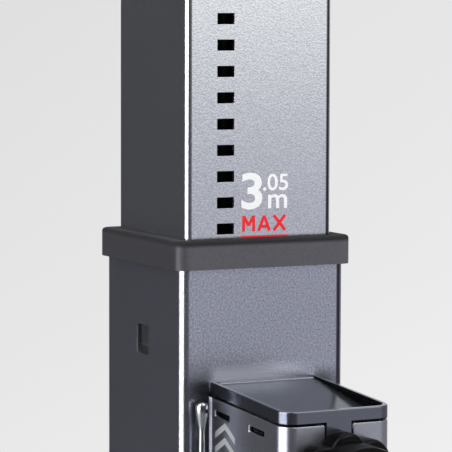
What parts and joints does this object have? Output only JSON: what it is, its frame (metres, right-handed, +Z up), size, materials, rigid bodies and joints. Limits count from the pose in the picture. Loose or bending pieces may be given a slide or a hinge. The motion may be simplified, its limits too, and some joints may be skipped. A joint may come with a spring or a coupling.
{
  "type": "height-adjustable post",
  "caption": "Square telescoping steel post on a foot plate, with a slotted rack, a spring latch worked by a side lever, a screw clamp with a lobed knob and a gas spring inside",
  "frame": {"origin": "centre of the foot plate's underside, on the post's axis", "axes": "+Z up along the post, -Y towards the slotted front with the latch housing and knob, -X towards the release lever's side"},
  "size_m": [0.19, 0.263, 1.8045],
  "materials": {
    "black_paint": "satin black powder coat",
    "grey_hammer_paint": "fine-grained dark silver hammer paint",
    "dark_grey_paint": "satin grey paint",
    "silver_paint": "smooth satin silver paint",
    "grey_nylon": "matte moulded nylon",
    "charcoal_moulding": "satin moulded plastic",
    "grey_moulding": "satin moulded plastic",
    "black_moulding": "semi-gloss moulded plastic",
    "pad_rubber": "plain rubber",
    "zinc_steel": "bright zinc plate",
    "chrome_steel": "polished chrome plate"
  },
  "bodies": {
    "post_base": {"foot_plate": "black_paint", "foot_gussets": "black_paint", "outer_post": "grey_hammer_paint", "guide_bush": "grey_nylon", "collar": "charcoal_moulding", "travel_stop_screws": "zinc_steel", "housing_body": "dark_grey_paint", "housing_screws": "zinc_steel", "lid": "grey_moulding", "nut_plate": "zinc_steel", "nut_plate_rivets": "zinc_steel", "clamp_nut": "zinc_steel", "knob_washer": "zinc_steel", "shaft_bushes": "grey_nylon", "gas_spring_clevis": "black_paint", "clevis_pin": "zinc_steel", "gas_spring_rod": "chrome_steel", "latch_spring": "zinc_steel"},
    "inner_mast": {"inner_post": "silver_paint", "guide_shoe": "charcoal_moulding", "head_cap": "charcoal_moulding", "arm_tubes": "zinc_steel", "gas_spring_cylinder": "black_paint", "cylinder_spacers": "charcoal_moulding", "cylinder_bolt": "zinc_steel", "cylinder_nut": "zinc_steel"},
    "latch": {"release_lever": "chrome_steel", "latch_shaft": "zinc_steel", "latch_pawl": "zinc_steel", "latch_pins": "zinc_steel", "shaft_ring": "zinc_steel"},
    "clamp_foot": {"clamp_pad": "pad_rubber"},
    "clamp_screw": {"clamp_stud": "zinc_steel", "clamp_knob": "black_moulding", "knob_cap": "black_moulding"}
  },
  "joints": [
    {"name": "height_slide", "type": "slide", "parent": "post_base", "child": "inner_mast", "axis": [0, 0, 1], "range_m": [-0.6048, 0]},
    {"name": "latch_hinge", "type": "hinge", "parent": "post_base", "child": "latch", "pos_m": [0, -0.06, 0.7675], "axis": [1, 0, 0], "range_deg": [0, 18], "stiffness_Nm_per_rad": 0.25, "springref_deg": -20.05, "deforming": ["latch_spring"]},
    {"name": "clamp_pad_slide", "type": "slide", "parent": "post_base", "child": "clamp_foot", "axis": [0, -1, 0], "range_m": [0, 0.003]},
    {"name": "clamp_knob_turn", "type": "hinge", "parent": "clamp_foot", "child": "clamp_screw", "pos_m": [0, -0.14, 0.803], "axis": [0, -1, 0], "range_deg": [0, 720]}
  ],
  "couplings": [
    {"joint": "clamp_pad_slide", "follows": "clamp_knob_turn", "m_per_rad": 0.000238}
  ]
}
